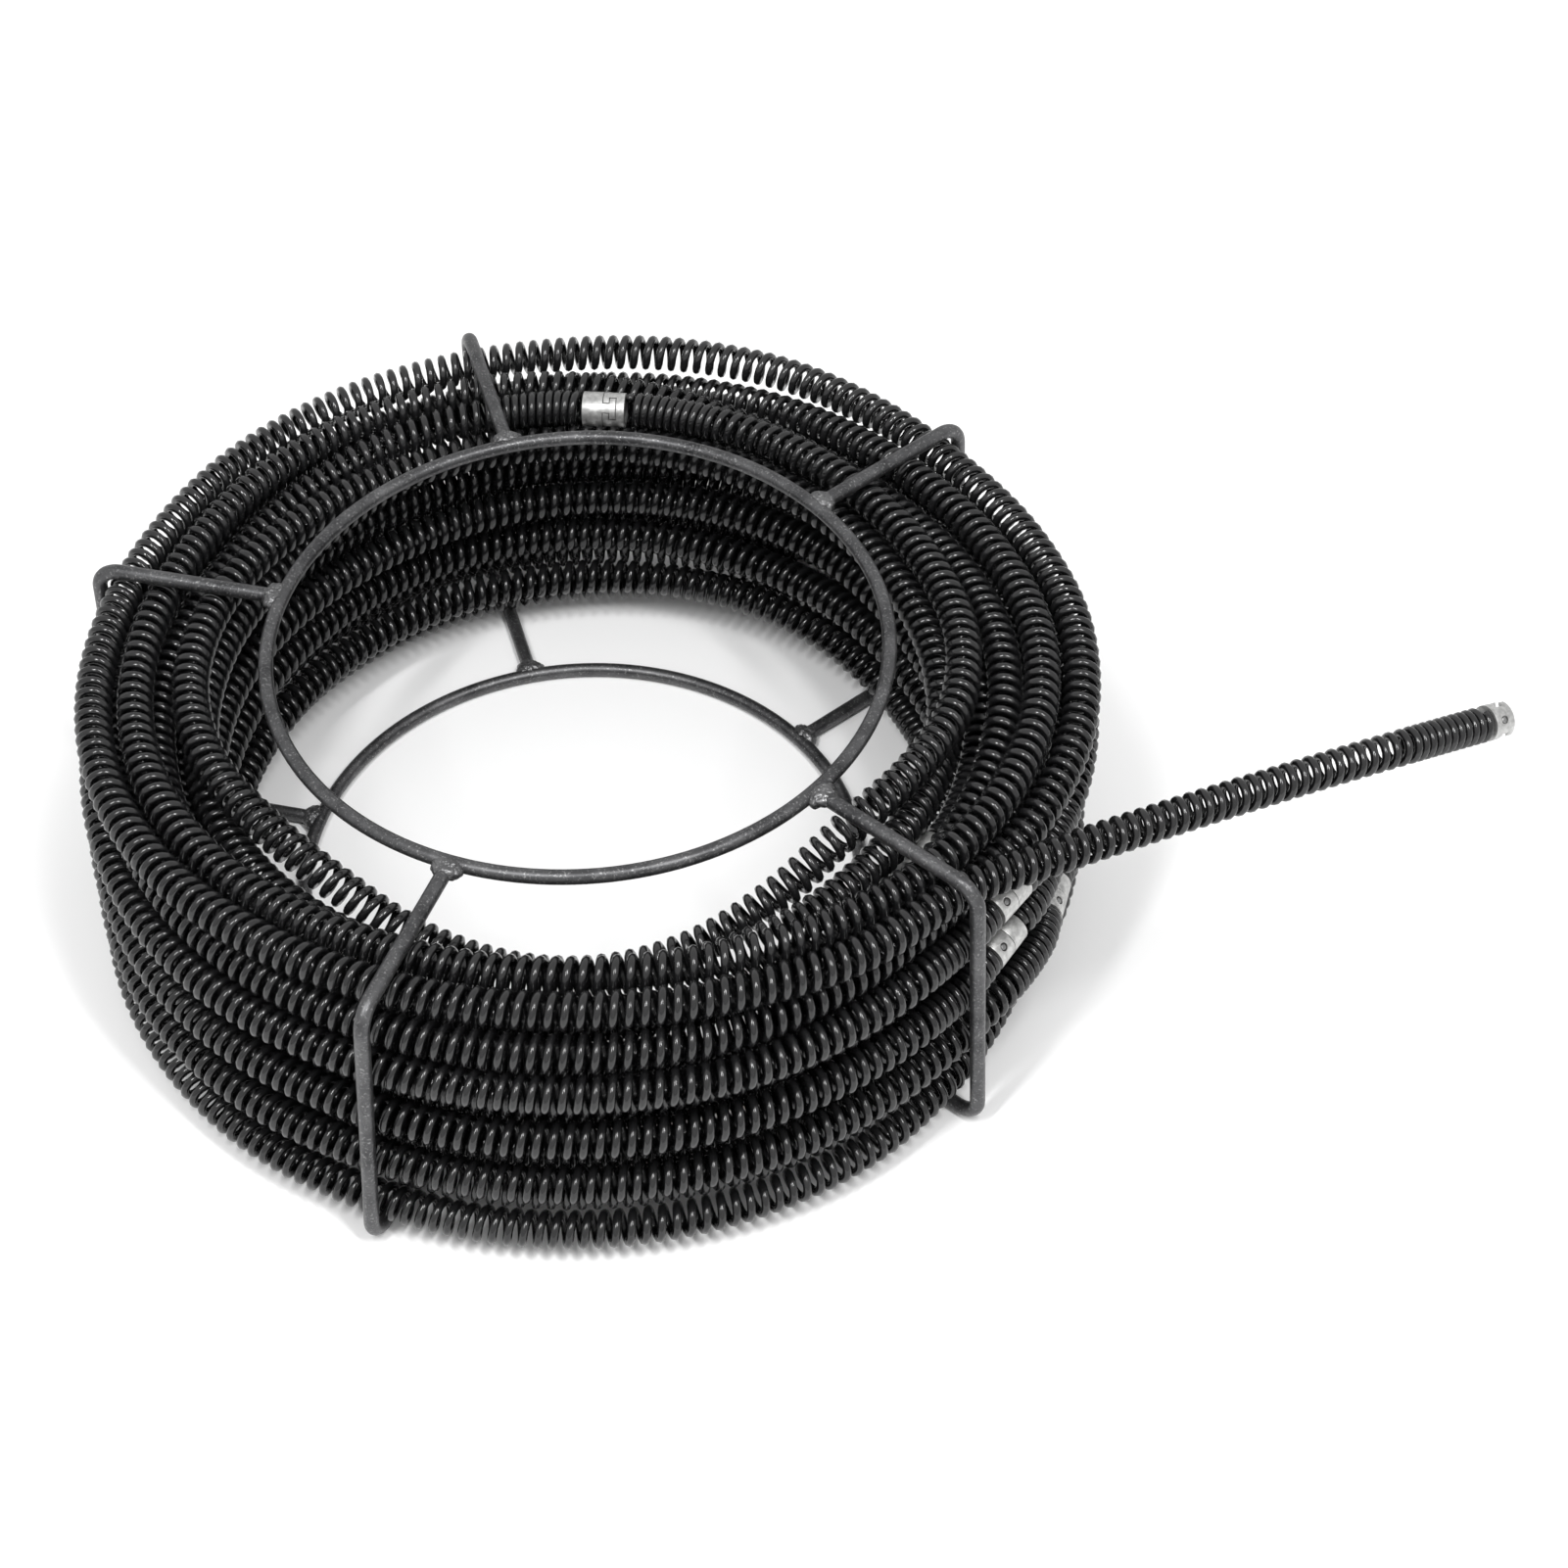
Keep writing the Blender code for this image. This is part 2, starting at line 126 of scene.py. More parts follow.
# %% [markdown]
# The carrier's own sizes decide how much room there is for the coil. Azimuths are in degrees, and
# start at the right-hand side. The uprights lean out towards the floor, and the lower half of one
# arm has been knocked askew. Between two arms the cable may stand out a little past the rods.

# %% Sizes of the carrier
ROD_DIAMETER = 0.0064
CARRIER_RADIUS = 0.212          # to the middle of an upright, at its top
ROD_BEND_RADIUS = 0.0105
BOTTOM_SPREAD = 0.0046          # how far an upright leans out by the time it meets the floor
ARM_AZIMUTHS = {"a": 34.2, "b": 100.4, "c": 161.2, "d": 243.8, "e": 313.3}
LOWER_TURN = {"d": -1.8}
STAND_OUT = {"a": 0.003, "b": 0.002, "c": 0.008, "d": 0.004, "e": 0.019}
TURN_ROOM = 9.0                 # degrees kept free before the next arm, for the coil to turn in
print(len(ARM_AZIMUTHS), "arms at", list(ARM_AZIMUTHS.values()), "degrees")

# %% [markdown]
# The coil is three wraps wide and nine levels high. Round things pack closest when each level sits
# in the hollows of the next, so every other level is set in by about half a wrap. How far exactly
# follows from the wrap's pitch and the height of a level, by Pythagoras.

# %% Sizes of the coil
LEVELS, COLUMNS = 9, 3
LEVEL_HEIGHT = 0.01435
WRAP_GAP = 0.0004
COIL_CLEARANCE = 0.0004         # between the coil and the rods
COLUMN_SPACE = 1.01             # columns stand this many pitches apart
STATIONS = 24                   # places on the route in one wrap

WRAP_PITCH = CABLE_DIAMETER + WRAP_GAP
LOWEST_WRAP = ROD_DIAMETER / 2 + COIL_CLEARANCE + CABLE_DIAMETER / 2
HIGHEST_WRAP = LOWEST_WRAP + (LEVELS - 1) * LEVEL_HEIGHT
WIDEST_WRAP = CARRIER_RADIUS - LOWEST_WRAP
STAGGER = sqrt(max(WRAP_PITCH ** 2 - LEVEL_HEIGHT ** 2, 0))
STEP = 360 / STATIONS
print("wraps lie", round(LOWEST_WRAP, 4), "to", round(HIGHEST_WRAP, 4), "up")
print("every other level is set in by", round(STAGGER, 4))

# %% [markdown]
# Four small helpers tell how much room there is. The first eases a value from 0 to 1 without a
# jerk. The second gives the lean of the uprights at a height. The third is a smooth swelling over
# part of the circle. The last gives the widest radius that a wrap may have at an azimuth: nothing
# holds the cable between two arms, so it can bulge there, as a sack does between two straps.


# %% Measure the room inside the rods
def ease(t):
    t = np.clip(t, 0, 1)
    return t * t * (3 - 2 * t)


def lean(height):
    """How far out the arms' uprights lean at a height."""
    straight = TOP_RING_HEIGHT - 2 * ROD_BEND_RADIUS
    return BOTTOM_SPREAD * np.clip((straight + ROD_BEND_RADIUS - height) / straight, 0, 1)


def swell(azimuth, middle, half):
    """1 at a middle azimuth, easing to 0 at half a width on either side."""
    away = (azimuth - middle + 180) % 360 - 180
    return np.where(abs(away) < half, 0.5 + 0.5 * np.cos(pi * away / half), 0)


def widest(azimuth):
    """The widest radius of a wrap between the arms."""
    names = sorted(ARM_AZIMUTHS, key=ARM_AZIMUTHS.get)
    limit = np.full(len(azimuth), WIDEST_WRAP)
    for name, after in zip(names, names[1:] + names[:1]):
        start = ARM_AZIMUTHS[name]
        span = (ARM_AZIMUTHS[after] - start) % 360 - TURN_ROOM
        t = ((azimuth - start) % 360) / span
        limit += np.where(t < 1, STAND_OUT[name] * np.sin(pi * np.clip(t, 0, 1)) ** 2, 0)
    return limit


room_round = widest(np.arange(0.0, 360.0, STEP))
print("a wrap's radius may be", round(room_round.min(), 4), "to", round(room_round.max(), 4))

# %% [markdown]
# The free end leaves from the top, so the wraps are counted from the top down. The two top levels
# were wound together, an upper wrap and an under one by turns. Below them each level is filled
# from one side to the other and the next one back again, as thread fills a reel.


# %% Put the wraps in order
def wrap_order():
    top, under = LEVELS - 1, LEVELS - 2
    order = [(column, level) for column in range(COLUMNS) for level in (top, under)]
    columns = list(range(COLUMNS))[::-1]
    for level in range(LEVELS - 3, -1, -1):
        order += [(column, level) for column in columns]
        columns = columns[::-1]
    order.remove((1, 0))        # the last wraps were laid with a gap on the bottom level
    return order


def wrap_place(column, level):
    """Radius and height of a neat wrap; column 0 is the outermost."""
    set_in = STAGGER if (LEVELS - 1 - level) % 2 else 0
    height = LOWEST_WRAP + level * LEVEL_HEIGHT
    return WIDEST_WRAP + lean(height) - set_in - column * WRAP_PITCH * COLUMN_SPACE, height


print(len(wrap_order()), "wraps on", LEVELS, "levels")

# %% [markdown]
# Now each wrap is laid in its first place. It keeps to its place for most of a round and then eases
# across to the next one, a little sooner from wrap to wrap on the top levels. At the front some top
# wraps have slipped: three have sagged into the middle, and the last of these has dropped as well.


# %% Lay the wraps in their first places
FIRST_AZIMUTH = -45.0
CHANGE_AT, CHANGE_SOONER, CHANGE_SPAN = 0.86, 0.105, 0.28       # shares of a round
LOOSE_TOP, LOOSE_BELOW = 0.95, 0.5      # shares of the room to stand out that the wraps take
FRONT = -93
SLIPPED = (                     # wrap, half the slip's width in degrees, how far in, how far down
    (0, 62, 0.027, 0),
    (2, 62, 0.026, 0),
    (4, 62, 0.036, 0.060),
    (1, 80, -0.005, 0.007),
)


def lay_wraps():
    order = wrap_order()
    index = np.arange(len(order) * STATIONS)
    azimuth = FIRST_AZIMUTH - STEP * index
    wrap, along = index // STATIONS, (index % STATIONS) / STATIONS
    places = np.array([wrap_place(*slot) for slot in order + order[-1:]])
    interleaved = 2 * COLUMNS
    change = np.where(wrap < interleaved, CHANGE_AT - CHANGE_SOONER * wrap, CHANGE_AT)
    share = ease((along - change) / CHANGE_SPAN + 0.5)[:, None]
    settled = places[wrap] * (1 - share) + places[wrap + 1] * share
    radius, height = settled[:, 0].copy(), settled[:, 1].copy()
    loose = widest(azimuth) - WIDEST_WRAP
    radius += loose * np.where(wrap < interleaved, LOOSE_TOP, LOOSE_BELOW)
    for which, half, inwards, down in SLIPPED:
        here = wrap == which
        radius[here] -= inwards * swell(azimuth[here], FRONT, half)
        height[here] -= down * swell(azimuth[here], FRONT, half)
    return azimuth, radius, height


azimuth, radius, height = lay_wraps()
print("laid", len(azimuth), "stations,", round(height.min(), 4), "to", round(height.max(), 4), "up")

# %% [markdown]
# The first places cut into one another where wraps change over or slip, so the wraps are let settle
# in many small rounds. In each round every pair that is too near moves apart by part of what is
# missing. At first a weak pull takes the wraps back to their first places, and a strong stiffness
# keeps them smooth. Both fade for the last rounds, so that in the end the distances win.

# %% Let the wraps settle
ROUNDS = 1300
LATE = 0.55                     # the share of the rounds after which the pull stops
PULL_HOME = 0.05
STIFF_EARLY, STIFF_LATE = 0.08, 0.006
SPARE = 0.0003                  # a little more distance than needed, for the last rounds
PUSH, PUSH_BETWEEN = 0.9, 0.5


def push_apart(r, z, apart, itself):
    """How each place should move so that no two wraps are nearer than a distance."""
    dr, dz = r[:, None] - r[None], z[:, None] - z[None]
    distance = np.sqrt(dr ** 2 + dz ** 2) + 1e-9
    push = np.where(itself, 0, np.clip(apart - distance, 0, None)) * 0.5 / distance
    return (push * dr).sum(1).reshape(-1), (push * dz).sum(1).reshape(-1)


def settle(azimuth, radius, height):
    wraps = len(radius) // STATIONS
    start_radius, start_height = radius.copy(), height.copy()
    limit = widest(azimuth)
    itself = np.eye(wraps, dtype=bool)[:, :, None]
    for number in range(ROUNDS):
        late = number > ROUNDS * LATE
        apart = WRAP_PITCH + (SPARE if late else 0)
        if not late:
            radius += (start_radius - radius) * PULL_HOME
            height += (start_height - height) * PULL_HOME
        stiffness = STIFF_LATE if late else STIFF_EARLY
        for row in (radius, height):
            row[1:-1] += stiffness * ((row[:-2] + row[2:]) / 2 - row[1:-1])
        move_r, move_z = push_apart(radius.reshape(wraps, STATIONS), height.reshape(wraps, STATIONS),
                                    apart, itself)
        radius += move_r * PUSH
        height += move_z * PUSH
        between_r = (radius + np.append(radius[1:], radius[-1])) / 2
        between_z = (height + np.append(height[1:], height[-1])) / 2
        move_r, move_z = push_apart(between_r.reshape(wraps, STATIONS),
                                    between_z.reshape(wraps, STATIONS), apart, itself)
        for row, move in ((radius, move_r), (height, move_z)):
            row += move * PUSH_BETWEEN
            row[1:] += move[:-1] * PUSH_BETWEEN
        height[:] = np.clip(height, LOWEST_WRAP, HIGHEST_WRAP)
        radius[:] = np.minimum(radius, limit + lean(height))
    return radius, height


radius, height = settle(azimuth, radius, height)
print("settled from", round(height.min(), 4), "to", round(height.max(), 4), "up, radius",
      round(radius.min(), 4), "to", round(radius.max(), 4))

# %% [markdown]
# The free end springs out of the carrier in a nearly straight line and sags towards its tip. It is
# put in front of the coil's stations, so one list of stations holds the whole route.

# %% Add the free end
TAIL_LENGTH, TAIL_HEADING = 0.268, 23.0
TAIL_DROP, TAIL_DROP_POWER, TAIL_POINTS = 0.040, 1.3, 6

angle = np.radians(azimuth)
coil = np.stack([radius * np.cos(angle), radius * np.sin(angle), height], 1)
heading = np.array([cos(radians(TAIL_HEADING)), sin(radians(TAIL_HEADING)), 0])
tail = []
for number in range(TAIL_POINTS, 0, -1):
    share = number / TAIL_POINTS
    sag = np.array([0, 0, -TAIL_DROP * share ** TAIL_DROP_POWER])
    tail.append(coil[0] + heading * TAIL_LENGTH * share + sag)
stations = np.vstack([tail, coil]) + np.array(axis_place)
lengths = np.append(0, np.cumsum(np.linalg.norm(np.diff(stations, axis=0), axis=1)))
print("route of", len(stations), "stations,", round(lengths[-1], 3), "m of cable")

# %% [markdown]
# ## Where the couplings sit
# A coupling is stiff, so each one lies in the middle of a straight stretch between two stations.
# A place on the route is kept as a station number with a fraction, because the same number then
# finds the place on the straight stretches and on the smooth line that the spring follows.


# %% Find the coupling faces
END_SPARE = 0.001               # the last face stays this far inside the route's end


def station_at(distance):
    """Station number with its fraction at a distance along the straight stretches."""
    return float(np.interp(distance, lengths, np.arange(len(lengths))))


def on_chords(t):
    """The place at a station number, on the straight stretches."""
    return np.array([np.interp(t, np.arange(len(stations)), stations[:, k]) for k in range(3)]).T


faces = [0.0]
for number in range(1, SECTION_COUNT + 1):
    stretch = np.searchsorted(lengths, min(number * SECTION_LENGTH, lengths[-1] - END_SPARE)) - 1
    faces.append((lengths[stretch] + lengths[stretch + 1]) / 2)
print("coupling faces at", [round(f, 3) for f in faces])

# %% [markdown]
# A coupling is modelled lying along X, so its place on the route has to come with a turn. X points
# back towards the free end. Z is the side with the key hole, which faces up and outwards, where a
# key can reach it. Two directions are enough, because the third is square to both.

# %% Find a coupling's place and turn
LOOK_AHEAD = 0.002              # far enough along the straight stretch to tell its direction


def joint_frame(distance):
    """Place and turn of a coupling: X towards the free end, Z towards its key hole."""
    here, ahead = (on_chords(station_at(d)) for d in (distance, distance + LOOK_AHEAD))
    x = Vector(here - ahead).normalized()
    side = x.cross(Vector((0, 0, 1))).normalized()
    z = (side + Vector((0, 0, 1))).normalized()
    z = (z - x * z.dot(x)).normalized()
    turn = Matrix((x, z.cross(x), z)).transposed().to_4x4()
    return Matrix.Translation(Vector(here)) @ turn


free_end = joint_frame(COUPLING_LENGTH)
print("the free end points along", tuple(round(v, 2) for v in free_end.col[0][:3]))

# %% [markdown]
# ## The spring
# Each section is one long left-handed spring: a 3.7 mm wire wound 16 mm across, with room between
# its turns, except for the last ten at each end, which are wound close to grip the coupling.
# A Screw modifier makes a straight spring only, and bending it afterwards stretches the wire.
# So the wire's own middle line is computed turn by turn round the smooth route, and a ring of eight
# points is set square to it at every step. Eight points shade as a round wire at this size.

# %% Measure for the springs
WIRE_DIAMETER = 0.0037
OPEN_PITCH = 0.0060             # the free length between one turn and the next
CLOSE_PITCH = 0.00385
CLOSE_LENGTH = 0.039            # wound close for this far at each end
OPENING_LENGTH = 0.007          # over this length the turns open out
TURN_STEPS = 18
WIRE_SIDES = 8
ROUTE_STEPS = 12                # smooth points between two stations
PACE_STEPS = 20000              # places along a spring where the pitch is added up
print("close-wound for", round(CLOSE_LENGTH / CLOSE_PITCH, 1), "turns at each end of a spring")

# %% [markdown]
# The spring's middle line is smooth between the stations, and straight where it enters a coupling,
# because the coupling is stiff. So one helper gives the smooth line and another blends it over to
# the straight stretch on either side of a coupling.


# %% Draw a section's middle line
def on_smooth(t):
    """The smooth line through the stations, at station numbers t (Catmull-Rom)."""
    last = len(stations) - 1
    t = np.clip(t, 0, last)
    start = np.minimum(t.astype(int), last - 1)
    u = (t - start)[:, None]
    before, p0 = stations[np.maximum(start - 1, 0)], stations[start]
    p1, after = stations[start + 1], stations[np.minimum(start + 2, last)]
    m0, m1 = (p1 - before) / 2, (after - p0) / 2
    return ((2 * u ** 3 - 3 * u ** 2 + 1) * p0 + (u ** 3 - 2 * u ** 2 + u) * m0
            + (3 * u ** 2 - 2 * u ** 3) * p1 + (u ** 3 - u ** 2) * m1)


def section_line(start, end):
    """Points of one spring's middle line, straight where it enters its two couplings."""
    first, final = station_at(start), station_at(end)
    t = np.unique(np.concatenate([np.arange(first, final, 1 / ROUTE_STEPS), [final]]))
    smooth, chord = on_smooth(t), on_chords(t)
    straight = np.zeros(len(t))
    for edge, station in ((first, np.ceil(first)), (final, np.floor(final))):
        room = abs(station - edge)
        near = abs(t - edge) <= room
        straight[near] = ease(1 - abs(t[near] - edge) / room)
    return smooth + (chord - smooth) * straight[:, None]


def between_couplings(number):
    """The middle line of one section's spring, from one coupling's back to the next."""
    return section_line(faces[number] + COUPLING_LENGTH + TOUCH_GAP,
                        faces[number + 1] - COUPLING_LENGTH - TOUCH_GAP)


print("the first spring's line has", len(between_couplings(0)), "points")

# %% [markdown]
# The turns are close at the ends and open between them, so they don't come at an even pace. The
# pitch is worked out at many places along the spring, and the turns are added up from one place to
# the next. Read backwards, that sum says where each step of each turn lies.


# %% Pace the turns
def turn_places(total):
    """The turn number of every step of the wire, and how far along the spring it lies."""
    wire_radius = WIRE_DIAMETER / 2
    s = np.linspace(wire_radius, total - wire_radius, PACE_STEPS)
    from_end = np.minimum(s, total - s)
    opened = ease((from_end - CLOSE_LENGTH) / OPENING_LENGTH)
    pitch = CLOSE_PITCH + (OPEN_PITCH - CLOSE_PITCH) * opened
    turns = np.append(0, np.cumsum(np.diff(s) / pitch[1:]))
    phase = np.arange(int(turns[-1] * TURN_STEPS) + 1) / TURN_STEPS
    return phase, np.interp(phase, turns, s)


print("a section holds about", round(turn_places(SECTION_LENGTH)[0][-1]), "turns")

# %% [markdown]
# The wire needs three directions at every step: along the wire, outwards from the spring's middle
# line, and across both. The ring of points is drawn with the last two, so the wire never twists.
# Each point also gets a share that is 1 on the outside of the spring and 0 on the inside. The
# finish uses it later to paint the outside paler, partly as rubbing wear and partly as a painted
# highlight.


# %% Skin the wire
def unit(vectors):
    return vectors / np.linalg.norm(vectors, axis=1)[:, None]


def spring_wire(line):
    """Points, faces and an outward share (1 outermost, 0 inmost) for the wire round a line."""
    along = np.append(0, np.cumsum(np.linalg.norm(np.diff(line, axis=0), axis=1)))
    phase, s = turn_places(along[-1])
    centre = np.stack([np.interp(s, along, line[:, k]) for k in range(3)], 1)
    forward = unit(np.gradient(line, along, axis=0))
    forward = unit(np.stack([np.interp(s, along, forward[:, k]) for k in range(3)], 1))
    side = unit(np.cross(forward, [0, 0, 1]))
    up = np.cross(side, forward)
    angle = (2 * pi * phase)[:, None]
    out = np.cos(angle) * up - np.sin(angle) * side         # the minus makes it left-handed
    middle = centre + out * (CABLE_DIAMETER - WIRE_DIAMETER) / 2
    across = np.cross(unit(np.gradient(middle, axis=0)), out)
    ring = 2 * pi * np.arange(WIRE_SIDES) / WIRE_SIDES
    points = middle[:, None] + WIRE_DIAMETER / 2 * (
        np.cos(ring)[None, :, None] * out[:, None] + np.sin(ring)[None, :, None] * across[:, None])
    count = len(phase) - 1
    corner = np.arange(count)[:, None] * WIRE_SIDES + np.arange(WIRE_SIDES)[None]
    beside = np.arange(count)[:, None] * WIRE_SIDES + np.roll(np.arange(WIRE_SIDES), -1)[None]
    quads = np.stack([corner, beside, beside + WIRE_SIDES, corner + WIRE_SIDES], -1).reshape(-1, 4)
    caps = [list(range(WIRE_SIDES))[::-1],
            list(range(count * WIRE_SIDES, (count + 1) * WIRE_SIDES))]
    outward = np.tile(0.5 + 0.5 * np.cos(ring), count + 1)
    return points.reshape(-1, 3), quads.tolist() + caps, outward, phase[-1]


print("each turn has", TURN_STEPS * WIRE_SIDES, "faces")

# %% [markdown]
# All thirteen springs are made by the same helpers, each on its own stretch of the route. The
# points go into the mesh as they are, so each spring's object stays at the origin. Each spring
# rides with the coil and takes the place of the plain tube in the measured model.

# %% Wind the thirteen springs
springs = []
for number in range(SECTION_COUNT):
    label = f"{number + 1:02d}"
    line = between_couplings(number)
    points, rings, outward, turns = spring_wire(line)
    mesh = bpy.data.meshes.new(f"spring_{label}")
    mesh.from_pydata(points.tolist(), [], rings)
    mesh.attributes.new("outward", "FLOAT", "POINT").data.foreach_set("value", outward)
    mesh.shade_smooth()
    spring = bpy.data.objects.new(f"spring_{label}", mesh)
    bpy.context.scene.collection.objects.link(spring)
    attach(spring, "coil")
    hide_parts(f"cable_section_{label}")
    real = float(np.linalg.norm(np.diff(line, axis=0), axis=1).sum())
    springs.append((spring, line, real))
    print(spring.name, round(turns, 1), "turns,", round(real, 3), "m,", len(mesh.polygons), "faces")

# %% [markdown]
# ## Count the springs
# The springs are cord-like pieces. Here they are counted, and their lengths are added up. Each one
# goes back into the object at its far end, in the next coupling.

print(len(springs), "cords,", round(sum(real for _, _, real in springs), 2), "m in all")

# %% [markdown]
# ## The couplings
# A coupling is a short steel plug. One end of every section has a slot shaped like a T across its
# face, and the other end has a tongue of the same shape that slides into it from the side. A small
# hole in the slotted one leads to a sprung pin, which a key presses in to let the two slide apart.
# The tongue's sizes aren't written down again: they are the slot's, less a clearance all round.

# %% Sizes of the couplings
COUPLING_DIAMETER = 0.0156
SLOT_LIP, SLOT_NECK_WIDTH, SLOT_WIDTH, SLOT_DEPTH = 0.0026, 0.0050, 0.0100, 0.0033
TONGUE_CLEARANCE = 0.0003
KEY_HOLE_RADIUS, KEY_HOLE_PLACE, KEY_HOLE_FLOOR = 0.0018, 0.0044, 0.0030
PIN_CLEARANCE, PIN_LENGTH, PIN_SUNK = 0.0003, 0.0014, 0.0001
EDGE_ROUND = 0.00022            # how far a machined edge is broken
OVERCUT = 0.001                 # a cutter reaches past the face it cuts through
SLOT_LAP = 0.0005               # the two cuts of the slot overlap
TONGUE_LAP = 0.0002             # and so do the tongue's
COUPLING_SIDES, HOLE_SIDES, PIN_SIDES = 56, 32, 24
print("T slot", SLOT_WIDTH, "wide behind a neck of", SLOT_NECK_WIDTH)

# %% [markdown]
# An operator works on all that is selected, so everything is deselected before each step. A new
# primitive's place is settled into its mesh at once, because every finished piece has its object at
# the origin. A copy gets a mesh of its own, with its place in the mesh for the same reason.


# %% Helpers to start, keep and copy a piece
def start_fresh():
    """Leave edit mode and select nothing."""
    if bpy.context.object and bpy.context.object.mode != "OBJECT":
        bpy.ops.object.mode_set(mode="OBJECT")
    bpy.ops.object.select_all(action="DESELECT")


def keep(name):
    """Name the new primitive and settle its place and turn into its mesh."""
    made = bpy.context.object
    made.name = name
    made.data.name = name
    bpy.ops.object.transform_apply(location=True, rotation=True, scale=True)
    return made


def copy_to(original, name, matrix):
    """A copy with its own mesh, placed in the mesh."""
    mesh = original.data.copy()
    mesh.name = name
    mesh.transform(matrix)
    copy = bpy.data.objects.new(name, mesh)
    bpy.context.scene.collection.objects.link(copy)
    return copy


print("helpers to start, keep and copy are ready")

# %% [markdown]
# A coupling could be one lathe profile, but the slot isn't round, so a cylinder is cut with boxes.
# Boolean cuts leave knife-sharp edges, which look wrong on steel, because real edges are broken and
# catch the light. So a Bevel modifier rounds every edge that is sharp enough.


# %% Helpers to cut and round a piece
def cut_with(solid, cutter):
    """Cut one solid out of another, and drop the cutter."""
    start_fresh()
    bpy.context.view_layer.objects.active = solid
    solid.select_set(True)
    modifier = solid.modifiers.new("cut", "BOOLEAN")
    modifier.object, modifier.operation, modifier.solver = cutter, "DIFFERENCE", "EXACT"
    bpy.ops.object.modifier_apply(modifier=modifier.name)
    bpy.data.objects.remove(cutter, do_unlink=True)


def cut_away(solid, low, high):
    """Cut a box between two corners out of a solid."""
    start_fresh()
    middle = [(a + b) / 2 for a, b in zip(low, high)]
    bpy.ops.mesh.primitive_cube_add(size=1, location=middle)
    cutter = bpy.context.object
    cutter.scale = [b - a for a, b in zip(low, high)]
    cut_with(solid, cutter)


def soften(solid):
    """Round the sharp edges over, and shade the round faces smooth."""
    start_fresh()
    bpy.context.view_layer.objects.active = solid
    solid.select_set(True)
    modifier = solid.modifiers.new("round over", "BEVEL")
    modifier.width, modifier.segments = EDGE_ROUND, 2
    modifier.limit_method, modifier.angle_limit = "ANGLE", radians(35)
    bpy.ops.object.modifier_apply(modifier=modifier.name)
    bpy.ops.object.shade_smooth_by_angle(angle=radians(30))


print("edges will be rounded by", EDGE_ROUND)

# %% [markdown]
# The slotted coupling is modelled once, lying along X with its face at the far end. Two box cuts
# make the T: a narrow one through the lip, and a wide one behind it. A round cut makes the key hole.


# %% Model the slotted coupling
def coupling_blank(name, length):
    start_fresh()
    bpy.ops.mesh.primitive_cylinder_add(vertices=COUPLING_SIDES, radius=COUPLING_DIAMETER / 2,
                                        depth=length, location=(length / 2, 0, 0),
                                        rotation=(0, pi / 2, 0))
    return keep(name)


slotted = coupling_blank("slotted_pattern", COUPLING_LENGTH)
wide = COUPLING_DIAMETER
lip = COUPLING_LENGTH - SLOT_LIP
cut_away(slotted, (lip - SLOT_LAP, -wide, -SLOT_NECK_WIDTH / 2),
         (COUPLING_LENGTH + OVERCUT, wide, SLOT_NECK_WIDTH / 2))
cut_away(slotted, (lip - SLOT_DEPTH, -wide, -SLOT_WIDTH / 2), (lip, wide, SLOT_WIDTH / 2))
start_fresh()
drill_length = 0.01
bpy.ops.mesh.primitive_cylinder_add(vertices=HOLE_SIDES, radius=KEY_HOLE_RADIUS, depth=drill_length,
                                    location=(KEY_HOLE_PLACE, 0, KEY_HOLE_FLOOR + drill_length / 2))
cut_with(slotted, bpy.context.object)
soften(slotted)
print("slotted coupling:", len(slotted.data.polygons), "faces")

# %% [markdown]
# The tongued coupling starts as a longer blank, because the tongue sticks out past its face. What
# isn't tongue is milled away from both sides: first beside the neck, then beside the head.

# %% Model the tongued coupling
face = COUPLING_LENGTH - TOUCH_GAP
head = COUPLING_LENGTH + SLOT_LIP + TONGUE_CLEARANCE
tip = COUPLING_LENGTH + SLOT_LIP + SLOT_DEPTH - TONGUE_CLEARANCE
tongued = coupling_blank("tongued_pattern", tip)
for side in (1, -1):
    neck = sorted((side * (SLOT_NECK_WIDTH / 2 - TONGUE_CLEARANCE), side * wide))
    cut_away(tongued, (face, -wide, neck[0]), (head, wide, neck[1]))
    top = sorted((side * (SLOT_WIDTH / 2 - TONGUE_CLEARANCE), side * wide))
    cut_away(tongued, (head - TONGUE_LAP, -wide, top[0]), (tip + OVERCUT, wide, top[1]))
soften(tongued)
print("tongued coupling:", len(tongued.data.polygons), "faces")

# %% [markdown]
# The detent pin is turned with a domed end that the key pushes on. A cylinder whose outer rim is
# bevelled with many segments gives the dome.

# %% Model the detent pin
PIN_DOME = 0.0009               # how far in from its rim the pin is rounded
start_fresh()
pin_radius = KEY_HOLE_RADIUS - PIN_CLEARANCE
bpy.ops.mesh.primitive_cylinder_add(vertices=PIN_SIDES, radius=pin_radius, depth=PIN_LENGTH,
                                    location=(0, 0, -PIN_LENGTH / 2))
pin = keep("pin_pattern")
bpy.ops.object.mode_set(mode="EDIT")
bpy.ops.mesh.select_all(action="DESELECT")
shape = bmesh.from_edit_mesh(pin.data)
for edge in shape.edges:
    edge.select = all(v.co.z > -PIN_LENGTH / 2 for v in edge.verts)
bmesh.update_edit_mesh(pin.data)
bpy.ops.mesh.bevel(offset=PIN_DOME, segments=5, affect="EDGES")
bpy.ops.object.mode_set(mode="OBJECT")
pin.data.shade_smooth()
print("detent pin:", len(pin.data.polygons), "faces")

# %% [markdown]
# Every joint of the cable needs a slotted coupling, a tongued one and a pin. Each pattern is copied
# with its own mesh, and the place is put into the mesh. The couplings ride with the coil. Each pin
# rides on a body of its own, so that it can be pressed. The patterns are then thrown away.

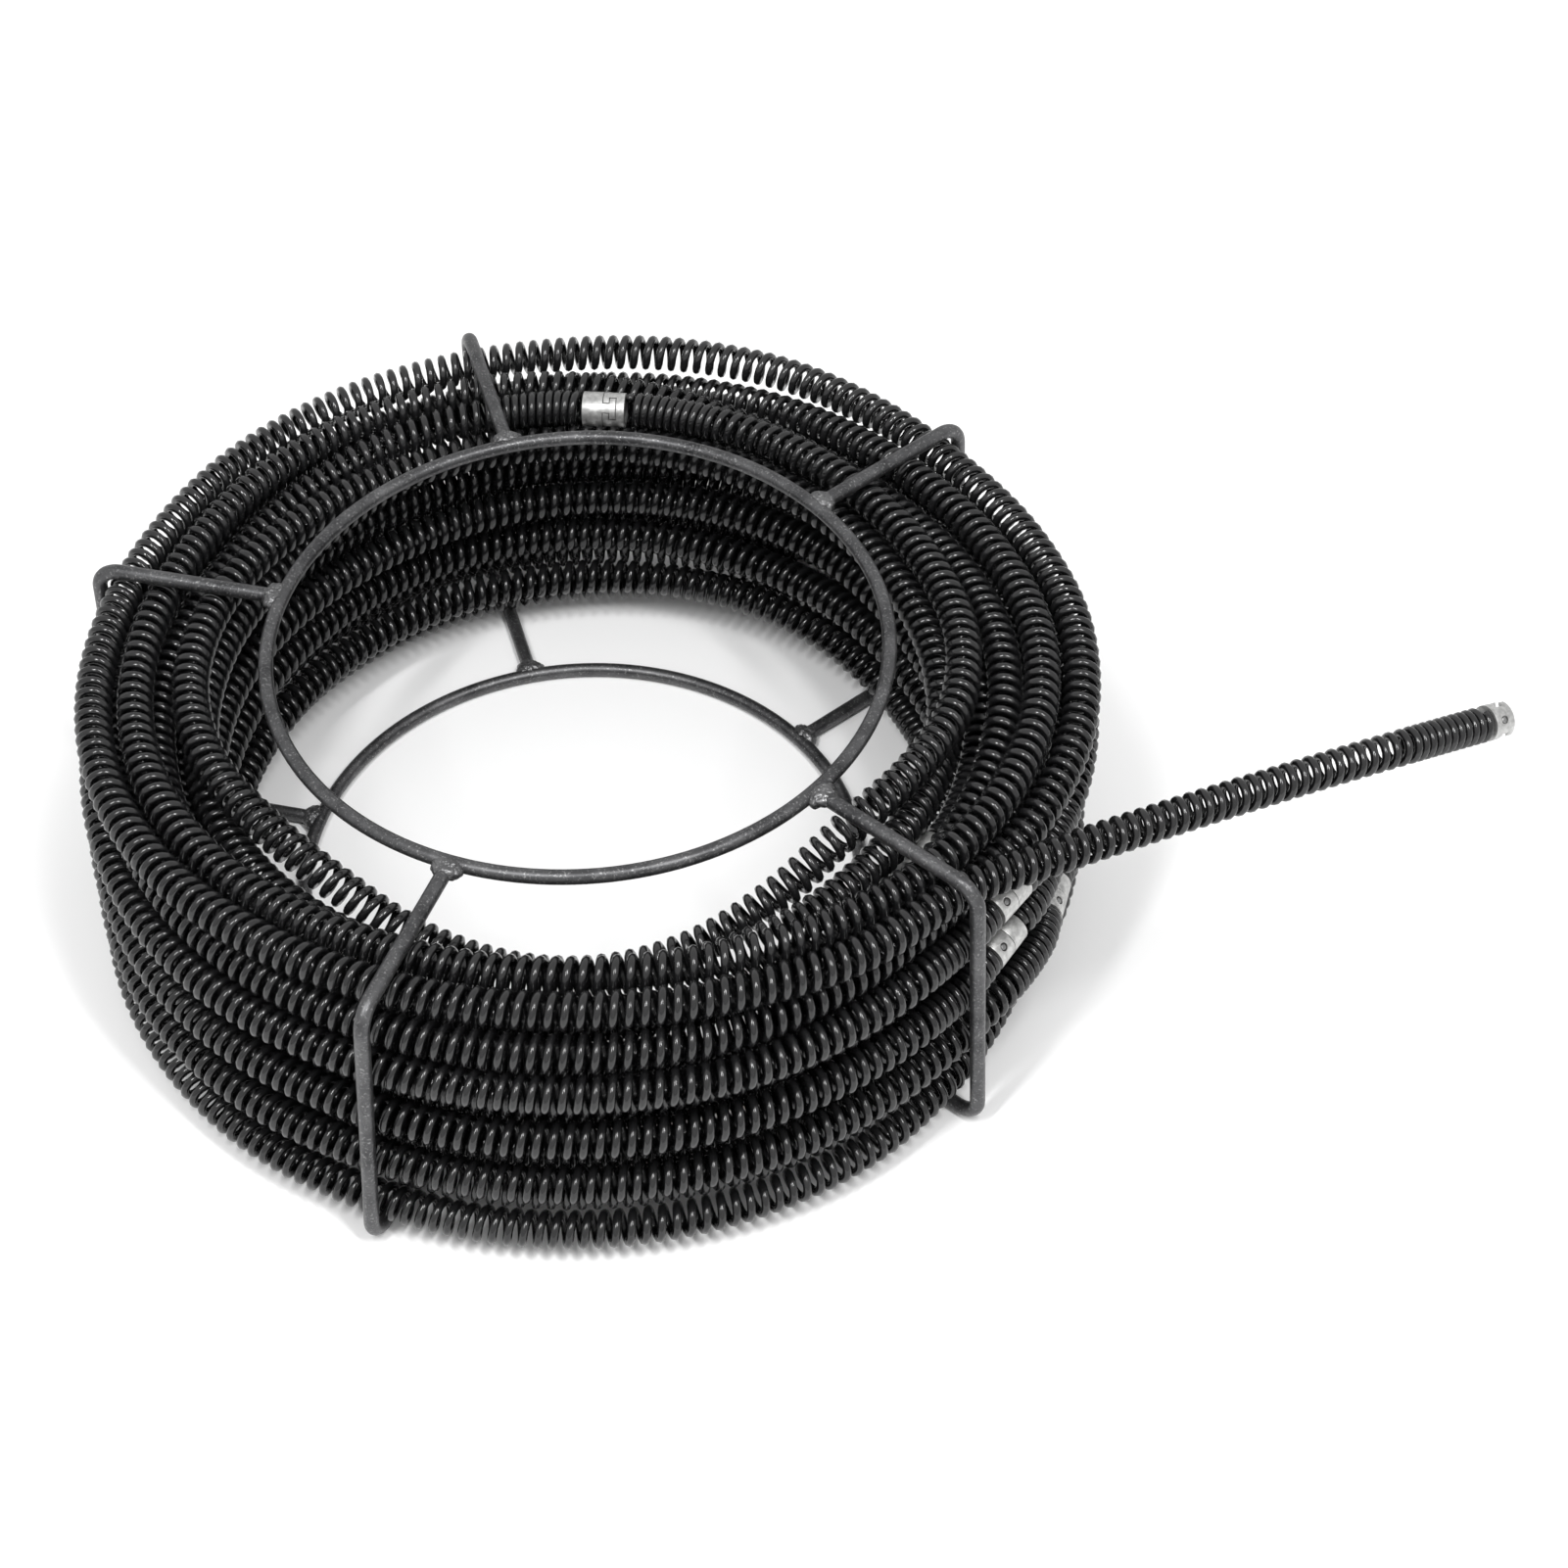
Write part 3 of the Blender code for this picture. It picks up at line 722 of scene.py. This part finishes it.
# %% Put the couplings and pins in place
couplings, pins = [], []
outer = COUPLING_DIAMETER / 2 - PIN_SUNK
for number in range(SECTION_COUNT):
    label = f"{number + 1:02d}"
    near = joint_frame(faces[number] + COUPLING_LENGTH)
    far = joint_frame(faces[number + 1] - COUPLING_LENGTH) @ Matrix.Rotation(pi, 4, "Z")
    pieces = ((slotted, "slotted_coupling", "female_coupling", near, "coil"),
              (tongued, "tongued_coupling", "male_coupling", far, "coil"),
              (pin, "key_pin", "detent_pin",
               near @ Matrix.Translation((KEY_HOLE_PLACE, 0, outer)), f"detent_pin_{label}"))
    for pattern, name, node, place, body in pieces:
        piece = copy_to(pattern, f"{name}_{label}", place)
        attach(piece, body)
        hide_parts(f"{node}_{label}")
        (pins if pattern is pin else couplings).append(piece)
for pattern in (slotted, tongued, pin):
    bpy.data.objects.remove(pattern, do_unlink=True)
print(len(couplings), "couplings and", len(pins), "pins")

# %% [markdown]
# ## The carrier
# The carrier is 6.4 mm mild steel rod: two rings and five arms, bent in a jig and welded by hand.
# A ring could be a curve with a bevel, but a torus is the quickest round start. Hand-rolled rod is
# never quite true, so the rings get a slight waver afterwards.

# %% Roll the two rings
ROD_RADIUS = ROD_DIAMETER / 2
ROD_SIDES, RING_STEPS = 16, 180
RING_WAVER, WAVER_SCALE, WAVER_SHIFT = 0.00010, 2.1, 40
RING_SLIMMER = 0.00012          # the wavering ring stays inside the true one
ring_sizes = {"top_ring": (top_low, top_high), "bottom_ring": (foot_low, foot_high)}
rods = []
for node, (low, high) in ring_sizes.items():
    start_fresh()
    middle = (low + high) / 2
    bpy.ops.mesh.primitive_torus_add(major_segments=RING_STEPS, minor_segments=ROD_SIDES,
                                     location=(0, 0, 0),
                                     major_radius=(high.x - low.x) / 2 - ROD_RADIUS,
                                     minor_radius=ROD_RADIUS - RING_SLIMMER)
    ring = keep(f"rolled_{node}")
    for vertex in ring.data.vertices:
        place = vertex.co
        turn = Vector((place.x, place.y, 0)).normalized()
        shift = Vector((0, 0, high.z * WAVER_SHIFT))
        waver = RING_WAVER * noise.noise(turn * WAVER_SCALE + shift)
        vertex.co = place + turn * waver
    ring.data.transform(Matrix.Translation(middle))
    ring.data.shade_smooth()
    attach(ring, "carrier")
    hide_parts(node)
    rods.append(ring)
    print(ring.name, "radius", round((high.x - low.x) / 2 - ROD_RADIUS, 4))

# %% [markdown]
# An arm is one rod bent twice: out over the coil, down outside it and back in under it. It starts
# against the top ring and ends against the bottom ring. The bottom ring is welded a little off the
# carrier's axis, so each arm's lower run has a length of its own, worked out from the two circles.

# %% Measure for the arms
TOP_RING_RADIUS, BOTTOM_RING_RADIUS = 0.129, 0.123
BOTTOM_RING_OFFSET = ((foot_low.x + foot_high.x) - (top_low.x + top_high.x)) / 2
BEND_STEPS = 10
RUN_STEPS, UPRIGHT_STEPS = 4, 6         # pieces in a level run and in an upright
MERGE_DISTANCE = 0.00001


def push_on(move):
    """Extrude what is selected by a move."""
    bpy.ops.mesh.extrude_region_move(TRANSFORM_OT_translate={"value": move})


def lower_end(azimuth):
    """How far from the axis an arm's lower run ends, at the outside of the bottom ring."""
    across = BOTTOM_RING_OFFSET * cos(azimuth)
    reach = BOTTOM_RING_RADIUS + ROD_RADIUS + TOUCH_GAP
    return across + sqrt(reach ** 2 - BOTTOM_RING_OFFSET ** 2 + across ** 2)


print("the bottom ring is welded", round(BOTTOM_RING_OFFSET, 4), "off the axis")

# %% [markdown]
# In the workshop the rod is pushed round a former, and Spin does the same here. A disc is extruded
# along each straight run and spun round the middle of each bend. A curve with a bevel would give
# the same shape, but this way the bends stay true arcs and the rod's ends are closed at once. The
# lower half is then turned about the axis by its small angle, more and more towards the floor.

# %% Bend the five arms
arms = {}
for letter, degrees in ARM_AZIMUTHS.items():
    start_fresh()
    azimuth, askew = radians(degrees), radians(LOWER_TURN.get(letter, 0))
    begin = TOP_RING_RADIUS + ROD_RADIUS + TOUCH_GAP
    bend = CARRIER_RADIUS - ROD_BEND_RADIUS
    bpy.ops.mesh.primitive_circle_add(vertices=ROD_SIDES, radius=ROD_RADIUS, fill_type="NGON",
                                      location=(begin, 0, TOP_RING_HEIGHT), rotation=(0, pi / 2, 0))
    arm = keep(f"bent_arm_{letter}")
    bpy.ops.object.mode_set(mode="EDIT")
    bpy.ops.mesh.select_all(action="SELECT")
    for _ in range(RUN_STEPS):
        push_on(((bend - begin) / RUN_STEPS, 0, 0))
    bpy.ops.mesh.spin(steps=BEND_STEPS, angle=pi / 2, axis=(0, -1, 0),
                      center=(bend, 0, TOP_RING_HEIGHT - ROD_BEND_RADIUS))
    for _ in range(UPRIGHT_STEPS):
        push_on((BOTTOM_SPREAD / UPRIGHT_STEPS, 0,
                 -(TOP_RING_HEIGHT - 2 * ROD_BEND_RADIUS) / UPRIGHT_STEPS))
    bpy.ops.mesh.spin(steps=BEND_STEPS, angle=pi / 2, axis=(0, -1, 0),
                      center=(bend + BOTTOM_SPREAD, 0, ROD_BEND_RADIUS))
    for _ in range(RUN_STEPS):
        push_on((-(bend + BOTTOM_SPREAD - lower_end(azimuth + askew)) / RUN_STEPS, 0, 0))
    bpy.ops.mesh.select_all(action="SELECT")
    bpy.ops.mesh.remove_doubles(threshold=MERGE_DISTANCE)
    bpy.ops.mesh.normals_make_consistent(inside=False)
    bpy.ops.object.mode_set(mode="OBJECT")
    for vertex in arm.data.vertices:
        share = 1 - (vertex.co.z - ROD_BEND_RADIUS) / (TOP_RING_HEIGHT - 2 * ROD_BEND_RADIUS)
        share = min(max(share, 0), 1)
        vertex.co = Matrix.Rotation(azimuth + askew * share, 3, "Z") @ vertex.co
    arm.data.transform(to_frame)
    bpy.ops.object.shade_smooth_by_angle(angle=radians(50))
    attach(arm, "carrier")
    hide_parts(f"carrier_arm_{letter}")
    arms[letter] = arm
    reached = [max(v.co[k] for v in arm.data.vertices) - min(v.co[k] for v in arm.data.vertices)
               for k in range(3)]
    print(arm.name, "measures", [round(v, 4) for v in reached])

# %% [markdown]
# ## The welds
# Each arm is tacked to a ring with one blob of weld, which flows a little way along both rods. A
# smooth ball would look like a bead of glue. So an ico sphere is drawn out along the two rods, and
# its points are pushed in by a few scales of noise, which gives the lumps and pits of a quick weld.

# %% Shape a bead of weld
WELD_RADIUS = 0.0047
WELD_ALONG_RING, WELD_ALONG_ARM = 0.55, 0.45    # how much longer the blob grows along each rod
WELD_FLATTER = 0.10
WELD_CORE = 0.93                # the size before the lumps are added
LUMPS = ((1.9, 0.16), (5.3, 0.07))      # how fine and how tall each scale of lumps is
WELD_TRIM = 0.0001
WELD_BACK = 0.0046              # the blob goes no farther than this behind its middle
FOOT = -ROD_RADIUS - 0.0001     # the floor, under the bottom ring's rod
SHIFT_BY_ARM, SHIFT_BY_HEIGHT = 0.37, 91        # so that no two beads have the same lumps


def bead_point(ray, shift):
    """Where a point of the ball ends up, from its direction: X along the arm, Y along the ring."""
    spread = (1 + WELD_ALONG_RING * abs(ray.y) ** 3 + WELD_ALONG_ARM * max(ray.x, 0) ** 3
              - WELD_FLATTER * abs(ray.z))
    (broad, tall), (fine, low) = LUMPS
    lump = noise.noise(ray * broad + shift) * tall + noise.noise(ray * fine + shift) * low
    place = ray * (WELD_RADIUS * WELD_CORE * spread * (1 + lump))
    place.z = max(min(place.z, WELD_RADIUS - WELD_TRIM), -WELD_RADIUS + WELD_TRIM)
    place.x = max(place.x, -WELD_BACK)
    return place


print("a weld is about", round(2 * WELD_RADIUS * (1 + WELD_ALONG_RING), 4), "long")

# %% [markdown]
# Every arm gets one bead at each ring. The noise is shifted by the arm's azimuth and the bead's
# height, so no two beads are alike and yet they come out the same on every run. The lower beads
# are pressed flat at the floor, because the carrier stands on them.

# %% Lay the welds
welds = []
for letter, degrees in ARM_AZIMUTHS.items():
    for level, height in (("upper", TOP_RING_HEIGHT), ("lower", 0)):
        turned = 0 if level == "upper" else LOWER_TURN.get(letter, 0)
        azimuth = radians(degrees + turned)
        reach = lower_end(azimuth) - TOUCH_GAP if level == "lower" else TOP_RING_RADIUS + ROD_RADIUS
        outwards = Vector((cos(azimuth), sin(azimuth), 0))
        start_fresh()
        bpy.ops.mesh.primitive_ico_sphere_add(subdivisions=5, radius=WELD_RADIUS)
        weld = keep(f"weld_{level}_{letter}")
        shift = Vector((degrees * SHIFT_BY_ARM, height * SHIFT_BY_HEIGHT, 3))
        for vertex in weld.data.vertices:
            vertex.co = bead_point(vertex.co.normalized(), shift)
        weld.data.transform(to_frame @ Matrix.Translation(outwards * reach + Vector((0, 0, height)))
                            @ Matrix.Rotation(azimuth, 4, "Z"))
        for vertex in weld.data.vertices:
            vertex.co.z = max(vertex.co.z, axis_place.z + FOOT)
        weld.data.shade_smooth()
        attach(weld, "carrier")
        welds.append(weld)
print(len(welds), "welds")

# %% [markdown]
# ## The finishes
# Four finishes cover the object: the springs', the rods', the welds' and the plated one of the
# couplings, with a duller sort of it for the pins. Each is a Principled shader with a few procedural
# patterns. The first helper makes the shader and the second lays a pattern on a piece. Object
# coordinates are in metres here, so a pattern's scale is counted per metre.


# %% Helpers for shaders and patterns
def new_finish(name, roughness, metallic, specular=0.5):
    material = bpy.data.materials.new(name)
    material.use_nodes = True
    tree = material.node_tree
    shader = tree.nodes["Principled BSDF"]
    shader.inputs["Roughness"].default_value = roughness
    shader.inputs["Metallic"].default_value = metallic
    shader.inputs["Specular IOR Level"].default_value = specular
    return material, tree, shader


def pattern(tree, scale, **settings):
    """A noise pattern on the piece's own coordinates."""
    place = tree.nodes.new("ShaderNodeTexCoord")
    texture = tree.nodes.new("ShaderNodeTexNoise")
    texture.inputs["Scale"].default_value = scale
    for name, value in settings.items():
        texture.inputs[name].default_value = value
    tree.links.new(place.outputs["Object"], texture.inputs["Vector"])
    return texture


print("helpers for shaders and patterns are ready")

# %% [markdown]
# A pattern gives a value from 0 to 1, and a finish needs colours, roughness and bumps. So the next
# helpers turn a value into a colour between two stops, spread it over a range, mix two colours by
# it, and use it as the height of fine bumps.


# %% Helpers for colours and bumps
def colour_ramp(tree, source, stops):
    """Turn a value into a colour between two stops."""
    ramp = tree.nodes.new("ShaderNodeValToRGB")
    for stop, (place, colour) in zip(ramp.color_ramp.elements, stops):
        stop.position, stop.color = place, (*colour, 1)
    tree.links.new(source, ramp.inputs["Fac"])
    return ramp.outputs["Color"]


def value_range(tree, source, low, high):
    """Spread a value from 0..1 over low..high."""
    spread = tree.nodes.new("ShaderNodeMapRange")
    spread.inputs["To Min"].default_value = low
    spread.inputs["To Max"].default_value = high
    tree.links.new(source, spread.inputs["Value"])
    return spread.outputs["Result"]


def mix_colours(tree, share, first, second):
    """Mix a linked colour with a plain one, by a linked share."""
    mix = tree.nodes.new("ShaderNodeMix")
    mix.data_type, mix.blend_type = "RGBA", "MIX"
    tree.links.new(share, mix.inputs[0])
    tree.links.new(first, mix.inputs[6])
    mix.inputs[7].default_value = (*second, 1)
    return mix.outputs[2]


def rough_surface(tree, shader, source, strength, distance):
    """Give the surface fine bumps of a height in metres."""
    bump = tree.nodes.new("ShaderNodeBump")
    bump.inputs["Strength"].default_value = strength
    bump.inputs["Distance"].default_value = distance
    tree.links.new(source, bump.inputs["Height"])
    tree.links.new(bump.outputs["Normal"], shader.inputs["Normal"])


def coat(pieces, material):
    """Give pieces one finish and no other."""
    for piece in pieces:
        piece.data.materials.clear()
        piece.data.materials.append(material)


print("helpers for colours and bumps are ready")

# %% [markdown]
# The spring wire is hardened steel with a black, oiled finish. It is nearly black and glossy.
# The outside of every turn is painted a little paler: partly wear, where it slides on pipe and
# on other wraps, and partly a painted highlight. A pattern on the coordinates couldn't tell the
# outside from the inside. But the wire carries a value that is 1 on the outside of the spring,
# so the finish finds it whatever way the cable runs.

# %% Finish of the springs
spring_black, tree, shader = new_finish("black_oiled_spring_steel", 0.2, 0.0, 0.6)
outward = tree.nodes.new("ShaderNodeAttribute")
outward.attribute_name = "outward"
smudge = pattern(tree, 160, Detail=4, Roughness=0.6)
grain = pattern(tree, 2400, Detail=2)
dust = colour_ramp(tree, smudge.outputs["Fac"], [(0.35, (0.003, 0.003, 0.0032)),
                                                (0.75, (0.008, 0.008, 0.0085))])
# painted highlight and rubbing wear: the outside of every turn is made paler than the inside
rubbed_and_highlit = colour_ramp(tree, outward.outputs["Fac"], [(0.55, (0, 0, 0)), (1.0, (1, 1, 1))])
tree.links.new(mix_colours(tree, rubbed_and_highlit, dust, (0.011, 0.011, 0.0115)), shader.inputs["Base Color"])
tree.links.new(value_range(tree, smudge.outputs["Fac"], 0.10, 0.26), shader.inputs["Roughness"])
rough_surface(tree, shader, grain.outputs["Fac"], 0.08, 0.00004)
coat([spring for spring, _, _ in springs], spring_black)
print(len(springs), "springs in", spring_black.name)

# %% [markdown]
# The carrier is plain mill rod, left raw. It is dark grey and satin, with fine pale specks and
# darker patches of scale. A broad noise makes the patches and a fine one the specks. The welds are
# the same steel but brighter where the scale has burnt off, so the same helper makes both.


# %% Finish of the rods and the welds
def rod_finish(name, dark, pale, speck):
    material, tree, shader = new_finish(name, 0.4, 0.75)
    scale = pattern(tree, 55, Detail=5, Roughness=0.65)
    fine = pattern(tree, 900, Detail=3, Roughness=0.7)
    base = colour_ramp(tree, scale.outputs["Fac"], [(0.32, dark), (0.70, pale)])
    specks = colour_ramp(tree, fine.outputs["Fac"], [(0.56, (0, 0, 0)), (0.74, (1, 1, 1))])
    tree.links.new(mix_colours(tree, specks, base, speck), shader.inputs["Base Color"])
    tree.links.new(value_range(tree, scale.outputs["Fac"], 0.28, 0.5), shader.inputs["Roughness"])
    rough_surface(tree, shader, fine.outputs["Fac"], 0.35, 0.0001)
    return material


raw_rod = rod_finish("raw_mill_rod", (0.04, 0.04, 0.042), (0.13, 0.13, 0.133), (0.36, 0.36, 0.36))
weld_metal = rod_finish("weld_metal", (0.06, 0.06, 0.062), (0.20, 0.20, 0.203), (0.5, 0.5, 0.5))
coat(rods + list(arms.values()), raw_rod)
coat(welds, weld_metal)
print(len(rods) + len(arms), "rods in", raw_rod.name, "and", len(welds), "welds in", weld_metal.name)

# %% [markdown]
# The couplings are pale plated steel with a fine cast grain, and the pins are plain dull steel. One
# helper makes both, since they differ only in how pale and how rough they are.


# %% Finish of the couplings and pins
def plated_finish(name, dark, pale, roughness):
    material, tree, shader = new_finish(name, roughness, 0.85)
    mottle = pattern(tree, 420, Detail=4, Roughness=0.6)
    grain = pattern(tree, 3000, Detail=2)
    colour = colour_ramp(tree, mottle.outputs["Fac"], [(0.3, dark), (0.65, pale)])
    tree.links.new(colour, shader.inputs["Base Color"])
    tree.links.new(value_range(tree, mottle.outputs["Fac"], roughness - 0.08, roughness + 0.12),
                   shader.inputs["Roughness"])
    rough_surface(tree, shader, grain.outputs["Fac"], 0.25, 0.00008)
    return material


plated = plated_finish("pale_plated_steel", (0.36, 0.36, 0.355), (0.60, 0.60, 0.59), 0.38)
pin_steel = plated_finish("dull_pin_steel", (0.16, 0.16, 0.16), (0.30, 0.30, 0.30), 0.40)
coat(couplings, plated)
coat(pins, pin_steel)
print(len(couplings), "couplings in", plated.name, "and", len(pins), "pins in", pin_steel.name)

# %% [markdown]
# ## The floor
# The object stands on a plain, nearly white floor. It is one large square, a hair below the lowest
# piece so that the two never share a plane, and dull, so that it takes soft shadows and mirrors
# nothing. It belongs to the stage and isn't a part of the object.

# %% Lay the floor
FLOOR_SIZE, FLOOR_GAP = 30, 0.0002
start_fresh()
bpy.ops.mesh.primitive_plane_add(size=FLOOR_SIZE, location=(0, 0, cad_box[0][2] - FLOOR_GAP))
floor = keep("studio_floor")
pale_floor, tree, shader = new_finish("pale_floor", 0.9, 0.0, 0.1)
shader.inputs["Base Color"].default_value = (0.93, 0.93, 0.93, 1)
coat([floor], pale_floor)
print("floor", FLOOR_SIZE, "m across")

# %% [markdown]
# ## The light
# An even white room lights the object from all round, which keeps the black wire readable down in
# the coil. A room alone would look flat. So two long narrow lamps stand high in front, and each
# turn of the spring mirrors them as a pair of thin highlights.


# %% Light the room
def soft_lamp(name, azimuth, elevation, distance, size, power):
    """A long soft lamp aimed at the middle of the coil, placed by its direction from there."""
    direction = Vector((cos(radians(azimuth)) * cos(radians(elevation)),
                        sin(radians(azimuth)) * cos(radians(elevation)), sin(radians(elevation))))
    aim = axis_place + Vector((0, 0, AIM_HEIGHT))
    bpy.ops.object.light_add(type="AREA", location=aim + direction * distance)
    lamp = bpy.context.object
    lamp.name = name
    lamp.data.shape = "RECTANGLE"
    lamp.data.size, lamp.data.size_y = size
    lamp.data.energy = power
    lamp.rotation_euler = (-direction).to_track_quat("-Z", "Y").to_euler()
    return lamp


ROOM_BRIGHTNESS = 0.80
AIM_HEIGHT = 0.06
LAMP_ELEVATION, LAMP_DISTANCE = 62, 2.4
LAMP_SIZE, LAMP_POWER = (0.18, 1.0), 25
room = bpy.data.worlds.new("white_room")
room.use_nodes = True
room.node_tree.nodes["Background"].inputs["Color"].default_value = (1, 1, 1, 1)
room.node_tree.nodes["Background"].inputs["Strength"].default_value = ROOM_BRIGHTNESS
bpy.context.scene.world = room
lamps = [soft_lamp(name, azimuth, LAMP_ELEVATION, LAMP_DISTANCE, LAMP_SIZE, LAMP_POWER)
         for name, azimuth in (("left_lamp", -128), ("right_lamp", -58))]
bpy.context.scene.view_settings.view_transform = "Standard"
print(len(lamps), "lamps of", LAMP_POWER, "W in a white room")

# %% [markdown]
# ## Finish
# The last cell only prints that the scene is built.

# %% The end
print("the scene is built")
